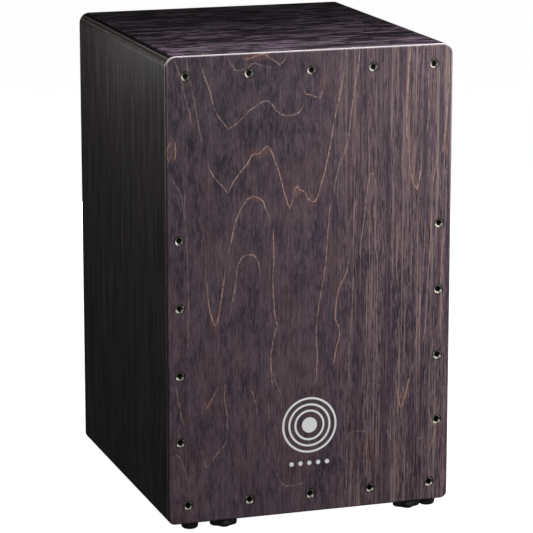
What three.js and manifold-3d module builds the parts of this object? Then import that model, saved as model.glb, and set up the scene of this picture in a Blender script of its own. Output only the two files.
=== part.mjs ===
// A cajon: a wooden box drum. The player sits on the seat panel and strikes the tapa, the thin
// plate screwed over the front. Snare strings behind the tapa are tightened by two star knobs
// under the front edge, and the sound leaves through a round port in the back panel.
//
// Millimetres. +Z is up, the tapa faces -Y, and -X is on the left as the front is faced.
// The origin is on the floor, under the middle of the box.

import * as THREE from 'three';
import { mergeVertices } from 'three/addons/utils/BufferGeometryUtils.js';
import Module from 'manifold-3d';

const wasm = await Module();
wasm.setup();

// ---- Driving dimensions ----

const BOX_WIDTH = 300;
const BOX_DEPTH = 330;
const BOX_HEIGHT = 475;
const FOOT_HEIGHT = 10;

const TAPA_THICKNESS = 3;
const BACK_THICKNESS = 5;
const SEAT_THICKNESS = 12;
const SIDE_THICKNESS = 9;
const SEAT_LIP = 5.5;
const TOP_CORNER_RADIUS = 11;
const BOTTOM_CORNER_RADIUS = 7;
const FACE_EDGE_RADIUS = 2;

const BATTEN_WIDTH = 18;
const BATTEN_DEPTH = 22;

const PORT_RADIUS = 57.5;
const PORT_HEIGHT = 300;

const ROW_SCREW_SPACING = 64.8;
const ROW_SCREW_COUNT = 5;
const TOP_SCREW_HEIGHT = 464.7;
const BOTTOM_SCREW_HEIGHT = 29;
const SIDE_SCREW_X = 137.1;
const SIDE_SCREW_TOP = 301.6;
const SIDE_SCREW_SPACING = 68.8;
const SIDE_SCREW_COUNT = 4;

const TAPA_SCREW = { headRadius: 4.5, rim: 0.3, shankRadius: 2, length: 20, sunk: 0.25 };
const FIT_GAP = 0.3;
const HOLE_GAP = 0.2;

const FOOT_RADIUS = 9;
const FRONT_FOOT_Y = -146;
const REAR_FOOT_Y = 140;
const FEET = [
  { name: 'front_left', x: -122.5, y: FRONT_FOOT_Y },
  { name: 'front_right', x: 134.5, y: FRONT_FOOT_Y },
  { name: 'rear_left', x: -125, y: REAR_FOOT_Y },
  { name: 'rear_right', x: 125, y: REAR_FOOT_Y },
];
const FOOT_SHOULDER = 5;
const FOOT_SCREW = { headRadius: 3.8, headHeight: 1.8, shankRadius: 2, reach: 14 };

const KNOB_Y = -148;
const KNOB_RADIUS = 14.5;
const KNOB_LOBES = 5;
const KNOB_LOBE_DEPTH = 2.4;
const KNOB_LOBE_TURN = THREE.MathUtils.degToRad(-97);
const KNOB_BOTTOM = 1.4;
const KNOB_TOP = 8.8;
const WASHER_THICKNESS = 1;
const BOLT_RADIUS = 2.5;
const BOLT_END_Z = 4.6;
const EYE_HEIGHT = 56;
const EYE_RADIUS = 4;
const EYE_WIRE_RADIUS = 1.4;
const BUSH_RADIUS = 4;
const BUSH_FLANGE = { radius: 6.5, thickness: 1.5 };

const STRING_RADIUS = 0.5;
const STRING_TOP_Y = -160.9;
const STRING_GRIP = 1.5;
const ANCHOR_BAR = { width: 10, thickness: 2.5, halfLength: 116 };
const ANCHOR_SCREW_X = 26;
const ANCHOR_SCREW_Y = -155.5;

// Each side's eye bolt holds two strings. A string's two upper ends are this far in from the bolt.
const SNARE_SIDES = [
  { name: 'left', boltX: -88, inward: 1 },
  { name: 'right', boltX: 110.5, inward: -1 },
];
const SNARE_STRINGS = [
  { name: 'outer', ends: [5, 75], eyeOffset: -0.8 },
  { name: 'inner', ends: [27, 52], eyeOffset: 0.8 },
];

// ---- Places worked out from them ----

const HALF_WIDTH = BOX_WIDTH / 2;
const FRONT = -BOX_DEPTH / 2;
const BACK = BOX_DEPTH / 2;
const BOTTOM = FOOT_HEIGHT;
const TOP = FOOT_HEIGHT + BOX_HEIGHT;
const SHELL_FRONT = FRONT + TAPA_THICKNESS;
const SHELL_BACK = BACK - BACK_THICKNESS;
const UNDER_SEAT = TOP - SEAT_THICKNESS;
const UNDER_LIP = TOP - SEAT_LIP;
const ON_BOTTOM_PANEL = BOTTOM + SEAT_THICKNESS;
const INNER_X = HALF_WIDTH - SIDE_THICKNESS;
const UNDER_TOP_BATTEN = UNDER_SEAT - BATTEN_WIDTH;
const ON_BOTTOM_BATTEN = ON_BOTTOM_PANEL + BATTEN_WIDTH;
const ANCHOR_BAR_BOTTOM = UNDER_TOP_BATTEN - ANCHOR_BAR.thickness;

const CORNER_STEPS = 4;
const ROUND_STEPS = 16;
const SCREW_STEPS = 12;
const HOLE_STEPS = 10;
const FOOT_STEPS = 20;
const KNOB_STEPS = 50;
const WIRE_SIDES = 8;
const STRING_SIDES = 6;
const STRING_STEPS = 18;

// ---- Materials ----

function material(colour, roughness, metalness = 0) {
  return new THREE.MeshStandardMaterial({ color: colour, roughness, metalness });
}

const TAPA_WOOD = material(0x4a4046, 0.5);
const SEAT_WOOD = material(0x423b40, 0.42);
const SIDE_WOOD = material(0x2b2828, 0.55);
const SPRUCE = material(0xd8bd8c, 0.8);
const SCREW_STEEL = material(0xb9b4ac, 0.3, 1);
const BLACK_RUBBER = material(0x17171a, 0.85);
const BLACK_PLASTIC = material(0x1d1c20, 0.55);
const BRASS = material(0xb59548, 0.35, 1);
const STRING_STEEL = material(0xc4c2bc, 0.3, 1);

// ---- Solids: joining and cutting ----

function isRealTriangle(a, b, c) {
  return a !== b && b !== c && c !== a;
}

function toSolid(geometry) {
  const bare = geometry.clone();
  bare.deleteAttribute('normal');
  bare.deleteAttribute('uv');
  const welded = mergeVertices(bare);
  const index = welded.index.array;
  const corners = [];
  for (let i = 0; i < index.length; i += 3) {
    if (isRealTriangle(index[i], index[i + 1], index[i + 2])) {
      corners.push(index[i], index[i + 1], index[i + 2]);
    }
  }
  return new wasm.Manifold(new wasm.Mesh({
    numProp: 3,
    vertProperties: new Float32Array(welded.attributes.position.array),
    triVerts: new Uint32Array(corners),
  }));
}

function toGeometry(solid) {
  const mesh = solid.getMesh();
  const geometry = new THREE.BufferGeometry();
  geometry.setAttribute('position', new THREE.BufferAttribute(mesh.vertProperties, 3));
  geometry.setIndex(new THREE.BufferAttribute(mesh.triVerts, 1));
  geometry.computeVertexNormals();
  return geometry;
}

function cut(geometry, tools) {
  const solid = tools.reduce((rest, tool) => rest.subtract(toSolid(tool)), toSolid(geometry));
  return toGeometry(solid);
}

function join(first, second) {
  return toGeometry(toSolid(first).add(toSolid(second)));
}

function keepInside(geometry, boundary) {
  return toGeometry(toSolid(geometry).intersect(toSolid(boundary)));
}

// ---- Shapes shared by several pieces ----

function boxBetween([x0, y0, z0], [x1, y1, z1]) {
  const geometry = new THREE.BoxGeometry(x1 - x0, y1 - y0, z1 - z0);
  return geometry.translate((x0 + x1) / 2, (y0 + y1) / 2, (z0 + z1) / 2);
}

// A solid of revolution about Y, from [radius, y] pairs that start and end on the axis.
function turnedAboutY(profile, steps = ROUND_STEPS) {
  const points = profile.map(([radius, y]) => new THREE.Vector2(radius, y));
  return new THREE.LatheGeometry(points, steps);
}

// The same about Z, from [radius, z] pairs.
function turnedAboutZ(profile, steps = ROUND_STEPS) {
  return turnedAboutY(profile, steps).rotateX(Math.PI / 2);
}

function rodAlongZ(radius, z0, z1, steps = ROUND_STEPS) {
  return turnedAboutZ([[0, z0], [radius, z0], [radius, z1], [0, z1]], steps);
}

function sleeveAlongZ(outer, inner, z0, z1) {
  return turnedAboutZ([[inner, z0], [outer, z0], [outer, z1], [inner, z1], [inner, z0]]);
}

// A shape drawn in X and Z, swept along Y from y0 to y1.
function sweptAlongY(shape, y0, y1, options = {}) {
  const settings = { depth: y1 - y0, bevelEnabled: false, curveSegments: CORNER_STEPS, ...options };
  return new THREE.ExtrudeGeometry(shape, settings).rotateX(Math.PI / 2).translate(0, y1, 0);
}

// ---- The box ----

// The box's outline from the front: tight lower corners and softer upper ones.
function boxOutline() {
  const shape = new THREE.Shape();
  const low = BOTTOM_CORNER_RADIUS;
  const high = TOP_CORNER_RADIUS;
  shape.moveTo(-HALF_WIDTH + low, BOTTOM);
  shape.lineTo(HALF_WIDTH - low, BOTTOM);
  shape.absarc(HALF_WIDTH - low, BOTTOM + low, low, -Math.PI / 2, 0);
  shape.lineTo(HALF_WIDTH, TOP - high);
  shape.absarc(HALF_WIDTH - high, TOP - high, high, 0, Math.PI / 2);
  shape.lineTo(-HALF_WIDTH + high, TOP);
  shape.absarc(-HALF_WIDTH + high, TOP - high, high, Math.PI / 2, Math.PI);
  shape.lineTo(-HALF_WIDTH, BOTTOM + low);
  shape.absarc(-HALF_WIDTH + low, BOTTOM + low, low, Math.PI, Math.PI * 1.5);
  return shape;
}

// A slab of the box's outline whose outer edge is rounded over on one face: the slab is swept
// with both faces rounded and a spare inner layer, and the inner layer is cut away.
function coverPlate(y0, y1, shape, roundedFace) {
  const spare = 2 * FACE_EDGE_RADIUS;
  const low = roundedFace === 'front' ? y0 : y0 - spare;
  const high = roundedFace === 'front' ? y1 + spare : y1;
  const slab = sweptAlongY(shape, low + FACE_EDGE_RADIUS, high - FACE_EDGE_RADIUS, {
    bevelEnabled: true,
    bevelThickness: FACE_EDGE_RADIUS,
    bevelSize: FACE_EDGE_RADIUS,
    bevelOffset: -FACE_EDGE_RADIUS,
    bevelSegments: 3,
  });
  const reach = BOX_WIDTH;
  return keepInside(slab, boxBetween([-reach, y0, BOTTOM - 1], [reach, y1, TOP + 1]));
}

// The seat's ends are rabbeted: a thin lip of the seat lies on each side's top edge, and the lip
// and the side share the rounded corner.
const LIP_ANGLE = Math.asin((UNDER_LIP - TOP + TOP_CORNER_RADIUS) / TOP_CORNER_RADIUS);

function seatShape() {
  const radius = TOP_CORNER_RADIUS;
  const shape = new THREE.Shape();
  shape.moveTo(-INNER_X, UNDER_SEAT);
  shape.lineTo(INNER_X, UNDER_SEAT);
  shape.lineTo(INNER_X, UNDER_LIP);
  shape.absarc(HALF_WIDTH - radius, TOP - radius, radius, LIP_ANGLE, Math.PI / 2);
  shape.lineTo(-HALF_WIDTH + radius, TOP);
  shape.absarc(-HALF_WIDTH + radius, TOP - radius, radius, Math.PI / 2, Math.PI - LIP_ANGLE);
  shape.lineTo(-INNER_X, UNDER_LIP);
  return shape;
}

// The right side from the front. Its outer top corner follows the box's rounding up to the lip.
function sideShape() {
  const radius = TOP_CORNER_RADIUS;
  const shape = new THREE.Shape();
  shape.moveTo(INNER_X, ON_BOTTOM_PANEL);
  shape.lineTo(HALF_WIDTH, ON_BOTTOM_PANEL);
  shape.absarc(HALF_WIDTH - radius, TOP - radius, radius, 0, LIP_ANGLE);
  shape.lineTo(INNER_X, UNDER_LIP);
  return shape;
}

function bottomShape() {
  const radius = BOTTOM_CORNER_RADIUS;
  const shape = new THREE.Shape();
  shape.moveTo(-HALF_WIDTH + radius, BOTTOM);
  shape.lineTo(HALF_WIDTH - radius, BOTTOM);
  shape.absarc(HALF_WIDTH - radius, BOTTOM + radius, radius, -Math.PI / 2, 0);
  shape.lineTo(HALF_WIDTH, ON_BOTTOM_PANEL);
  shape.lineTo(-HALF_WIDTH, ON_BOTTOM_PANEL);
  shape.lineTo(-HALF_WIDTH, BOTTOM + radius);
  shape.absarc(-HALF_WIDTH + radius, BOTTOM + radius, radius, Math.PI, Math.PI * 1.5);
  return shape;
}

// The port is drawn as four quarter arcs, so that it gets as many steps as four corners do.
function addPort(shape) {
  const hole = new THREE.Path();
  for (let quarter = 0; quarter < 4; quarter += 1) {
    const start = quarter * Math.PI / 2;
    hole.absarc(0, PORT_HEIGHT, PORT_RADIUS, start, start + Math.PI / 2);
  }
  shape.holes.push(hole);
  return shape;
}

// ---- Screws ----

function tapaScrewPlaces() {
  const places = [];
  for (let i = 0; i < ROW_SCREW_COUNT; i += 1) {
    const x = (i - (ROW_SCREW_COUNT - 1) / 2) * ROW_SCREW_SPACING;
    places.push({ name: `top_${i + 1}`, x, z: TOP_SCREW_HEIGHT });
    places.push({ name: `bottom_${i + 1}`, x, z: BOTTOM_SCREW_HEIGHT });
  }
  for (let i = 0; i < SIDE_SCREW_COUNT; i += 1) {
    const z = SIDE_SCREW_TOP - i * SIDE_SCREW_SPACING;
    places.push({ name: `left_${i + 1}`, x: -SIDE_SCREW_X, z });
    places.push({ name: `right_${i + 1}`, x: SIDE_SCREW_X, z });
  }
  return places;
}

// Countersunk, with a six-sided socket. The head's face is at y = 0 and the point is towards +Y.
function tapaScrew() {
  const { headRadius, rim, shankRadius, length } = TAPA_SCREW;
  const coneEnd = rim + headRadius - shankRadius;
  const body = turnedAboutY([
    [0, 0], [headRadius, 0], [headRadius, rim], [shankRadius, coneEnd],
    [shankRadius, length - 3], [0, length],
  ], SCREW_STEPS);
  const socket = new THREE.CylinderGeometry(1.9, 1.9, 3.2, 6);
  return cut(body, [socket]);
}

function tapaScrewHole({ x, z }) {
  const { headRadius, rim, shankRadius, length, sunk } = TAPA_SCREW;
  const coneStart = sunk + rim;
  const hole = turnedAboutY([
    [0, -1], [headRadius + FIT_GAP, -1], [headRadius + FIT_GAP, coneStart],
    [shankRadius + FIT_GAP, coneStart + headRadius - shankRadius],
    [shankRadius + FIT_GAP, sunk + length + 1], [0, sunk + length + 1],
  ], HOLE_STEPS);
  return hole.translate(x, FRONT, z);
}

// Pan head with a cross recess. The head's underside is at z = 0 and the point is towards +Z.
function panHeadScrew({ headRadius, headHeight, shankRadius, reach }) {
  const body = turnedAboutZ([
    [0, -headHeight], [headRadius - 1, -headHeight], [headRadius, 0.8 - headHeight],
    [headRadius, 0], [shankRadius, 0], [shankRadius, reach - 2], [0, reach],
  ], SCREW_STEPS);
  const slotHalf = 0.45;
  const crossHalf = headRadius * 0.6;
  const low = -headHeight - 1;
  const high = -headHeight + 1;
  return cut(body, [
    boxBetween([-crossHalf, -slotHalf, low], [crossHalf, slotHalf, high]),
    boxBetween([-slotHalf, -crossHalf, low], [slotHalf, crossHalf, high]),
  ]);
}

// ---- Feet ----

function rubberFoot() {
  const wellRadius = FOOT_SCREW.headRadius + 0.7;
  const holeRadius = FOOT_SCREW.shankRadius + FIT_GAP;
  return turnedAboutZ([
    [wellRadius, 0], [FOOT_RADIUS - 1.4, 0], [FOOT_RADIUS - 0.5, 0.9],
    [FOOT_RADIUS, FOOT_HEIGHT], [holeRadius, FOOT_HEIGHT], [holeRadius, FOOT_SHOULDER],
    [wellRadius, FOOT_SHOULDER], [wellRadius, 0],
  ], FOOT_STEPS);
}

function footScrewHole({ x, y }) {
  const { shankRadius, reach } = FOOT_SCREW;
  const tip = FOOT_SHOULDER + reach + 1;
  return rodAlongZ(shankRadius + FIT_GAP, 0, tip, HOLE_STEPS).translate(x, y, 0);
}

// ---- Snare tensioners, modelled on the axis of the bolt ----

// Five round lobes with shallow hollows between them.
function knobOutline() {
  const points = [];
  for (let i = 0; i < KNOB_STEPS; i += 1) {
    const angle = i / KNOB_STEPS * 2 * Math.PI;
    const dip = (1 - Math.cos(KNOB_LOBES * (angle - KNOB_LOBE_TURN))) / 2;
    const radius = KNOB_RADIUS - KNOB_LOBE_DEPTH * dip;
    points.push(new THREE.Vector2(radius * Math.cos(angle), radius * Math.sin(angle)));
  }
  return new THREE.Shape(points);
}

function starKnob() {
  const bevel = 1;
  const grip = new THREE.ExtrudeGeometry(knobOutline(), {
    depth: KNOB_TOP - KNOB_BOTTOM - 2 * bevel,
    bevelEnabled: true,
    bevelThickness: bevel,
    bevelSize: bevel,
    bevelOffset: -bevel,
    bevelSegments: 2,
  });
  grip.translate(0, 0, KNOB_BOTTOM + bevel);
  return cut(grip, [rodAlongZ(5, KNOB_BOTTOM + 1, KNOB_TOP + 1)]);
}

function knobInsert() {
  return sleeveAlongZ(5 - FIT_GAP, BOLT_RADIUS + FIT_GAP, KNOB_BOTTOM + 1.2, KNOB_TOP);
}

function knobWasher() {
  return sleeveAlongZ(7, BOLT_RADIUS + FIT_GAP, BOTTOM - WASHER_THICKNESS, BOTTOM);
}

function boltBush() {
  const bore = BOLT_RADIUS + FIT_GAP;
  const { radius, thickness } = BUSH_FLANGE;
  return turnedAboutZ([
    [bore, BOTTOM], [BUSH_RADIUS, BOTTOM], [BUSH_RADIUS, ON_BOTTOM_BATTEN],
    [radius, ON_BOTTOM_BATTEN], [radius, ON_BOTTOM_BATTEN + thickness],
    [bore, ON_BOTTOM_BATTEN + thickness], [bore, BOTTOM],
  ]);
}

// The eye's axis is along X, so that the strings pass through it from side to side.
function eyeRing() {
  const profile = [];
  for (let i = 0; i <= WIRE_SIDES; i += 1) {
    const angle = (i % WIRE_SIDES) / WIRE_SIDES * 2 * Math.PI;
    profile.push([EYE_RADIUS + EYE_WIRE_RADIUS * Math.cos(angle), EYE_WIRE_RADIUS * Math.sin(angle)]);
  }
  return turnedAboutY(profile).rotateZ(Math.PI / 2).translate(0, 0, EYE_HEIGHT);
}

function tensionBolt() {
  return join(rodAlongZ(BOLT_RADIUS, BOLT_END_Z, EYE_HEIGHT - EYE_RADIUS), eyeRing());
}

function bushHole(boltX) {
  return rodAlongZ(BUSH_RADIUS + HOLE_GAP, BOTTOM - 1, ON_BOTTOM_BATTEN + 1).translate(boltX, KNOB_Y, 0);
}

// ---- Snare strings ----

// One string: down from its first upper end, under the eye's top wire, and up to its second end.
// Each third of the parameter is one stretch, so that the tight bend gets as many steps as a leg.
class SnareStringPath extends THREE.Curve {
  constructor(boltX, ends, eyeOffset) {
    super();
    this.bendRadius = EYE_WIRE_RADIUS + FIT_GAP + STRING_RADIUS;
    this.centre = new THREE.Vector2(boltX, EYE_HEIGHT + EYE_RADIUS);
    this.topZ = ANCHOR_BAR_BOTTOM + STRING_GRIP;
    this.eyeY = KNOB_Y + eyeOffset;
    const [firstX, secondX] = [...ends].sort((a, b) => a - b);
    this.firstEnd = new THREE.Vector2(firstX, this.topZ);
    this.secondEnd = new THREE.Vector2(secondX, this.topZ);
    this.startAngle = this.tangentAngle(this.firstEnd, 1);
    this.stopAngle = this.tangentAngle(this.secondEnd, -1) + 2 * Math.PI;
  }

  tangentAngle(end, side) {
    const out = end.clone().sub(this.centre);
    return out.angle() + side * Math.acos(this.bendRadius / out.length());
  }

  onBend(share) {
    const angle = THREE.MathUtils.lerp(this.startAngle, this.stopAngle, share);
    const arm = new THREE.Vector2(Math.cos(angle), Math.sin(angle)).multiplyScalar(this.bendRadius);
    return arm.add(this.centre);
  }

  flatPoint(t) {
    if (t < 1 / 3) return this.firstEnd.clone().lerp(this.onBend(0), 3 * t);
    if (t > 2 / 3) return this.onBend(1).lerp(this.secondEnd, 3 * t - 2);
    return this.onBend(3 * t - 1);
  }

  getPoint(t, target = new THREE.Vector3()) {
    const { x, y: z } = this.flatPoint(THREE.MathUtils.clamp(t, 0, 1));
    const rise = Math.max(0, (z - this.centre.y) / (this.topZ - this.centre.y));
    return target.set(x, THREE.MathUtils.lerp(this.eyeY, STRING_TOP_Y, rise), z);
  }

  getPointAt(t, target) {
    return this.getPoint(t, target);
  }

  getTangentAt(t, target) {
    return this.getTangent(t, target);
  }
}

function stringEnds({ boltX, inward }, { ends }) {
  return ends.map((distance) => boltX + inward * distance);
}

function snareString(side, string) {
  const path = new SnareStringPath(side.boltX, stringEnds(side, string), string.eyeOffset);
  const section = [];
  for (let i = 0; i < STRING_SIDES; i += 1) {
    const angle = i / STRING_SIDES * 2 * Math.PI;
    section.push(new THREE.Vector2(STRING_RADIUS * Math.cos(angle), STRING_RADIUS * Math.sin(angle)));
  }
  const settings = { steps: STRING_STEPS, extrudePath: path };
  return new THREE.ExtrudeGeometry(new THREE.Shape(section), settings);
}

function anchorScrewHole(x) {
  const radius = FOOT_SCREW.shankRadius + FIT_GAP;
  const tip = ANCHOR_BAR_BOTTOM + FOOT_SCREW.reach + 1;
  return rodAlongZ(radius, ANCHOR_BAR_BOTTOM - 1, tip, HOLE_STEPS).translate(x, ANCHOR_SCREW_Y, 0);
}

function anchorBar() {
  const front = SHELL_FRONT + HOLE_GAP;
  const { halfLength, width } = ANCHOR_BAR;
  const bar = boxBetween(
    [-halfLength, front, ANCHOR_BAR_BOTTOM],
    [halfLength, front + width, UNDER_TOP_BATTEN],
  );
  const holes = [anchorScrewHole(-ANCHOR_SCREW_X), anchorScrewHole(ANCHOR_SCREW_X)];
  for (const side of SNARE_SIDES) {
    for (const string of SNARE_STRINGS) {
      for (const x of stringEnds(side, string)) {
        const radius = STRING_RADIUS + FIT_GAP;
        const hole = rodAlongZ(radius, ANCHOR_BAR_BOTTOM - 1, UNDER_TOP_BATTEN + 1, HOLE_STEPS);
        holes.push(hole.translate(x, STRING_TOP_Y, 0));
      }
    }
  }
  return cut(bar, holes);
}

// ---- Assembly ----

function add(parent, name, geometry, surface, position = [0, 0, 0]) {
  const mesh = new THREE.Mesh(geometry, surface);
  mesh.name = name;
  mesh.position.set(...position);
  parent.add(mesh);
}

const SCREW_PLACES = tapaScrewPlaces();
const TAPA_HOLES = SCREW_PLACES.map(tapaScrewHole);
const BUSH_HOLES = SNARE_SIDES.map(({ boltX }) => bushHole(boltX));
const ANCHOR_HOLES = [-ANCHOR_SCREW_X, ANCHOR_SCREW_X].map(anchorScrewHole);

function addPanels(parent) {
  const tapa = coverPlate(FRONT, SHELL_FRONT, boxOutline(), 'front');
  add(parent, 'tapa', cut(tapa, TAPA_HOLES), TAPA_WOOD);
  add(parent, 'back_panel', coverPlate(SHELL_BACK, BACK, addPort(boxOutline()), 'back'), SIDE_WOOD);
  add(parent, 'seat_panel', sweptAlongY(seatShape(), SHELL_FRONT, SHELL_BACK), SEAT_WOOD);
  const bottom = sweptAlongY(bottomShape(), SHELL_FRONT, SHELL_BACK);
  add(parent, 'bottom_panel', cut(bottom, [...FEET.map(footScrewHole), ...BUSH_HOLES]), SIDE_WOOD);
  const rightSide = sweptAlongY(sideShape(), SHELL_FRONT, SHELL_BACK);
  const leftSide = sweptAlongY(sideShape(), -SHELL_BACK, -SHELL_FRONT).rotateZ(Math.PI);
  add(parent, 'left_side_panel', leftSide, SIDE_WOOD);
  add(parent, 'right_side_panel', rightSide, SIDE_WOOD);
}

// Four battens around the inside of the front or the back, between y0 and y1.
function battenFrame(y0, y1) {
  const sideX = INNER_X - BATTEN_WIDTH;
  return {
    top: boxBetween([-INNER_X, y0, UNDER_TOP_BATTEN], [INNER_X, y1, UNDER_SEAT]),
    bottom: boxBetween([-INNER_X, y0, ON_BOTTOM_PANEL], [INNER_X, y1, ON_BOTTOM_BATTEN]),
    left: boxBetween([-INNER_X, y0, ON_BOTTOM_BATTEN], [-sideX, y1, UNDER_TOP_BATTEN]),
    right: boxBetween([sideX, y0, ON_BOTTOM_BATTEN], [INNER_X, y1, UNDER_TOP_BATTEN]),
  };
}

function addBattens(parent) {
  const front = battenFrame(SHELL_FRONT, SHELL_FRONT + BATTEN_DEPTH);
  const extraHoles = { top: ANCHOR_HOLES, bottom: BUSH_HOLES, left: [], right: [] };
  for (const [place, batten] of Object.entries(front)) {
    const screwHoles = TAPA_HOLES.filter((_, i) => SCREW_PLACES[i].name.startsWith(place));
    add(parent, `front_batten_${place}`, cut(batten, [...screwHoles, ...extraHoles[place]]), SPRUCE);
  }
  const rear = battenFrame(SHELL_BACK - BATTEN_WIDTH, SHELL_BACK);
  for (const [place, batten] of Object.entries(rear)) {
    add(parent, `rear_batten_${place}`, batten, SPRUCE);
  }
}

function addTapaScrews(parent) {
  const screw = tapaScrew();
  for (const { name, x, z } of SCREW_PLACES) {
    add(parent, `tapa_screw_${name}`, screw, SCREW_STEEL, [x, FRONT + TAPA_SCREW.sunk, z]);
  }
}

function addFeet(parent) {
  const foot = rubberFoot();
  const screw = panHeadScrew(FOOT_SCREW);
  for (const { name, x, y } of FEET) {
    const place = new THREE.Group();
    place.position.set(x, y, 0);
    parent.add(place);
    add(place, `foot_${name}`, foot, BLACK_RUBBER);
    add(place, `foot_screw_${name}`, screw, SCREW_STEEL, [0, 0, FOOT_SHOULDER]);
  }
}

function addTensioner(parent, { name, boltX }) {
  const axis = new THREE.Group();
  axis.position.set(boltX, KNOB_Y, 0);
  parent.add(axis);
  add(axis, `snare_knob_${name}`, starKnob(), BLACK_PLASTIC);
  add(axis, `knob_insert_${name}`, knobInsert(), BRASS);
  add(axis, `knob_washer_${name}`, knobWasher(), SCREW_STEEL);
  add(axis, `bolt_bush_${name}`, boltBush(), BRASS);
  add(axis, `tension_bolt_${name}`, tensionBolt(), SCREW_STEEL);
}

function addSnares(parent) {
  for (const side of SNARE_SIDES) {
    addTensioner(parent, side);
    for (const string of SNARE_STRINGS) {
      add(parent, `snare_string_${side.name}_${string.name}`, snareString(side, string), STRING_STEEL);
    }
  }
  add(parent, 'string_anchor_bar', anchorBar(), SCREW_STEEL);
  const screw = panHeadScrew(FOOT_SCREW);
  for (const [name, x] of [['left', -ANCHOR_SCREW_X], ['right', ANCHOR_SCREW_X]]) {
    add(parent, `anchor_screw_${name}`, screw, SCREW_STEEL, [x, ANCHOR_SCREW_Y, ANCHOR_BAR_BOTTOM]);
  }
}

const cajon = new THREE.Group();
addPanels(cajon);
addBattens(cajon);
addTapaScrews(cajon);
addFeet(cajon);
addSnares(cajon);

export default cajon;
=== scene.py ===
"""The looks of the cajon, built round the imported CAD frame. Metres, +Z up, the tapa faces -Y."""

import math

import bmesh
import bpy
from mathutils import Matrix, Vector


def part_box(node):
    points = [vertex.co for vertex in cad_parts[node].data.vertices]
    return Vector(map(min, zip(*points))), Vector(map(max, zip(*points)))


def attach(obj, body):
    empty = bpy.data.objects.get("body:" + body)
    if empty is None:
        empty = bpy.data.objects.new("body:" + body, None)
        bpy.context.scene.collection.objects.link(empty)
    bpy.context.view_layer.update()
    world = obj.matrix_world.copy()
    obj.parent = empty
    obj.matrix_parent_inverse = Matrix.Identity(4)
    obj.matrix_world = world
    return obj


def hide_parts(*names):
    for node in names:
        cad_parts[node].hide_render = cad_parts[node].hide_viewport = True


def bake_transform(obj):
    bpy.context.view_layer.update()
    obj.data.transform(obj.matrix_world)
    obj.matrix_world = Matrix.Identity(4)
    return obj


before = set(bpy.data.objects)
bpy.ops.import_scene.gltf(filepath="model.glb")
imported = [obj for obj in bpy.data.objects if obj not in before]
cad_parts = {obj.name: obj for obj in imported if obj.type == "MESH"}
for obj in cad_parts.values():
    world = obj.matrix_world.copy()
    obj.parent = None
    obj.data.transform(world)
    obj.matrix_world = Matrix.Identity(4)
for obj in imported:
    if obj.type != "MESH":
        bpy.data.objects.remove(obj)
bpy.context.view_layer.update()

MM = 0.001
BOX_BODY = "box"
SIDES = ("left", "right")

# ---- Places read from the frame ----

TAPA_LOW, TAPA_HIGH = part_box("tapa")
BACK_LOW, BACK_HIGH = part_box("back_panel")
SEAT_LOW, SEAT_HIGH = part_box("seat_panel")
FLOOR_PANEL_LOW, FLOOR_PANEL_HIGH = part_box("bottom_panel")
HALF_WIDTH = TAPA_HIGH.x
BOTTOM, TOP = TAPA_LOW.z, TAPA_HIGH.z
INNER_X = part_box("right_side_panel")[0].x
TOP_RADIUS = 11 * MM
BOTTOM_RADIUS = 7 * MM
FACE_RADIUS = 2.2 * MM
UNDER_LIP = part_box("left_side_panel")[1].z
LIP_TURN = math.asin((UNDER_LIP - TOP + TOP_RADIUS) / TOP_RADIUS) / (math.pi / 2)
FACE = TAPA_LOW.y / MM
PORT_RADIUS = 57.5 * MM
PORT_HEIGHT = 0.300


def middle(node):
    low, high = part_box(node)
    return (low + high) / 2


def nodes_named(*starts):
    return sorted(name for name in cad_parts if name.startswith(starts))


# ---- Camera ----

CAMERA_AIM = Vector((0.0221, 0.0435, 0.2193))
CAMERA_AZIMUTH = math.radians(-18.29)
CAMERA_ELEVATION = math.radians(12.99)
CAMERA_DISTANCE = 3.037
CAMERA_LENS = 190.98


def add_camera():
    data = bpy.data.cameras.new("camera")
    data.lens = CAMERA_LENS
    data.sensor_width = 36
    data.clip_start = 0.1
    data.clip_end = 100
    camera = bpy.data.objects.new("camera", data)
    level = math.cos(CAMERA_ELEVATION)
    back = Vector((
        math.sin(CAMERA_AZIMUTH) * level,
        -math.cos(CAMERA_AZIMUTH) * level,
        math.sin(CAMERA_ELEVATION),
    ))
    camera.location = CAMERA_AIM + back * CAMERA_DISTANCE
    camera.rotation_mode = "QUATERNION"
    camera.rotation_quaternion = (-back).to_track_quat("-Z", "Y")
    bpy.context.scene.collection.objects.link(camera)
    bpy.context.scene.camera = camera


# ---- Mesh building ----


def link_mesh(name, bm):
    bmesh.ops.recalc_face_normals(bm, faces=bm.faces)
    mesh = bpy.data.meshes.new(name)
    bm.to_mesh(mesh)
    bm.free()
    obj = bpy.data.objects.new(name, mesh)
    bpy.context.scene.collection.objects.link(obj)
    return obj


def add_faces_between(bm, low, high):
    """Joins two loops of equal length, or a loop and a single vertex."""
    steps = max(len(low), len(high))
    for i in range(steps):
        j = (i + 1) % steps
        if len(low) == 1:
            bm.faces.new((low[0], high[j], high[i]))
        elif len(high) == 1:
            bm.faces.new((low[i], low[j], high[0]))
        else:
            bm.faces.new((low[i], low[j], high[j], high[i]))


def lofted(name, rings, closed=False):
    """A solid through the rings of points. It is capped at both ends unless it closes on itself."""
    bm = bmesh.new()
    loops = [[bm.verts.new(point) for point in ring] for ring in rings]
    for low, high in zip(loops, loops[1:]):
        add_faces_between(bm, low, high)
    if closed:
        add_faces_between(bm, loops[-1], loops[0])
    else:
        for loop in (loops[0], loops[-1]):
            if len(loop) > 2:
                bm.faces.new(loop)
    return link_mesh(name, bm)


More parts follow.
